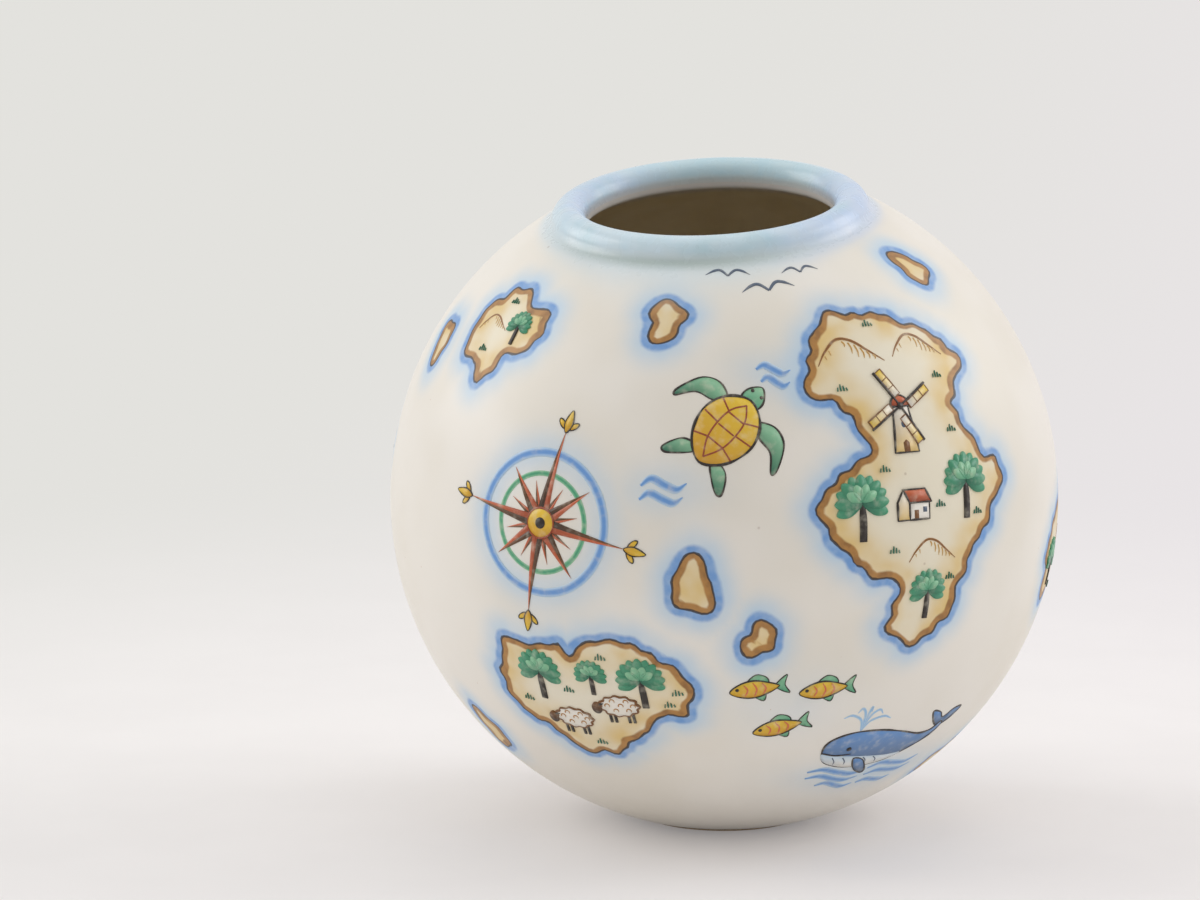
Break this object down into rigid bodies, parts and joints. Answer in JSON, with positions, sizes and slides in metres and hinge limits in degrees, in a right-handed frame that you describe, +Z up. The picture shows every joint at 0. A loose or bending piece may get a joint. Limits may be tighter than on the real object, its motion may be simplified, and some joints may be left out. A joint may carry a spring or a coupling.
{
  "type": "globe vase",
  "caption": "Round ceramic vase with a flat back, a leaning rolled collar round its mouth and a low foot ring, for cut flowers.",
  "frame": {"origin": "centre of the foot ring's standing face, on the globe's upright axis", "axes": "+Z up, +Y out of the flat back, so the mouth leans towards -Y, and +X to the right of someone facing the front"},
  "size_m": [0.2, 0.172, 0.1976],
  "materials": {
    "cream_glaze": "satin cream glaze with painted enamel",
    "blue_glaze": "satin pale blue airbrushed glaze",
    "bare_clay": "unglazed fired clay"
  },
  "bodies": {
    "root": {"lower_shell": "cream_glaze", "upper_shell": "cream_glaze", "back_panel": "cream_glaze", "collar": "blue_glaze", "foot_ring": "bare_clay"}
  },
  "joints": []
}
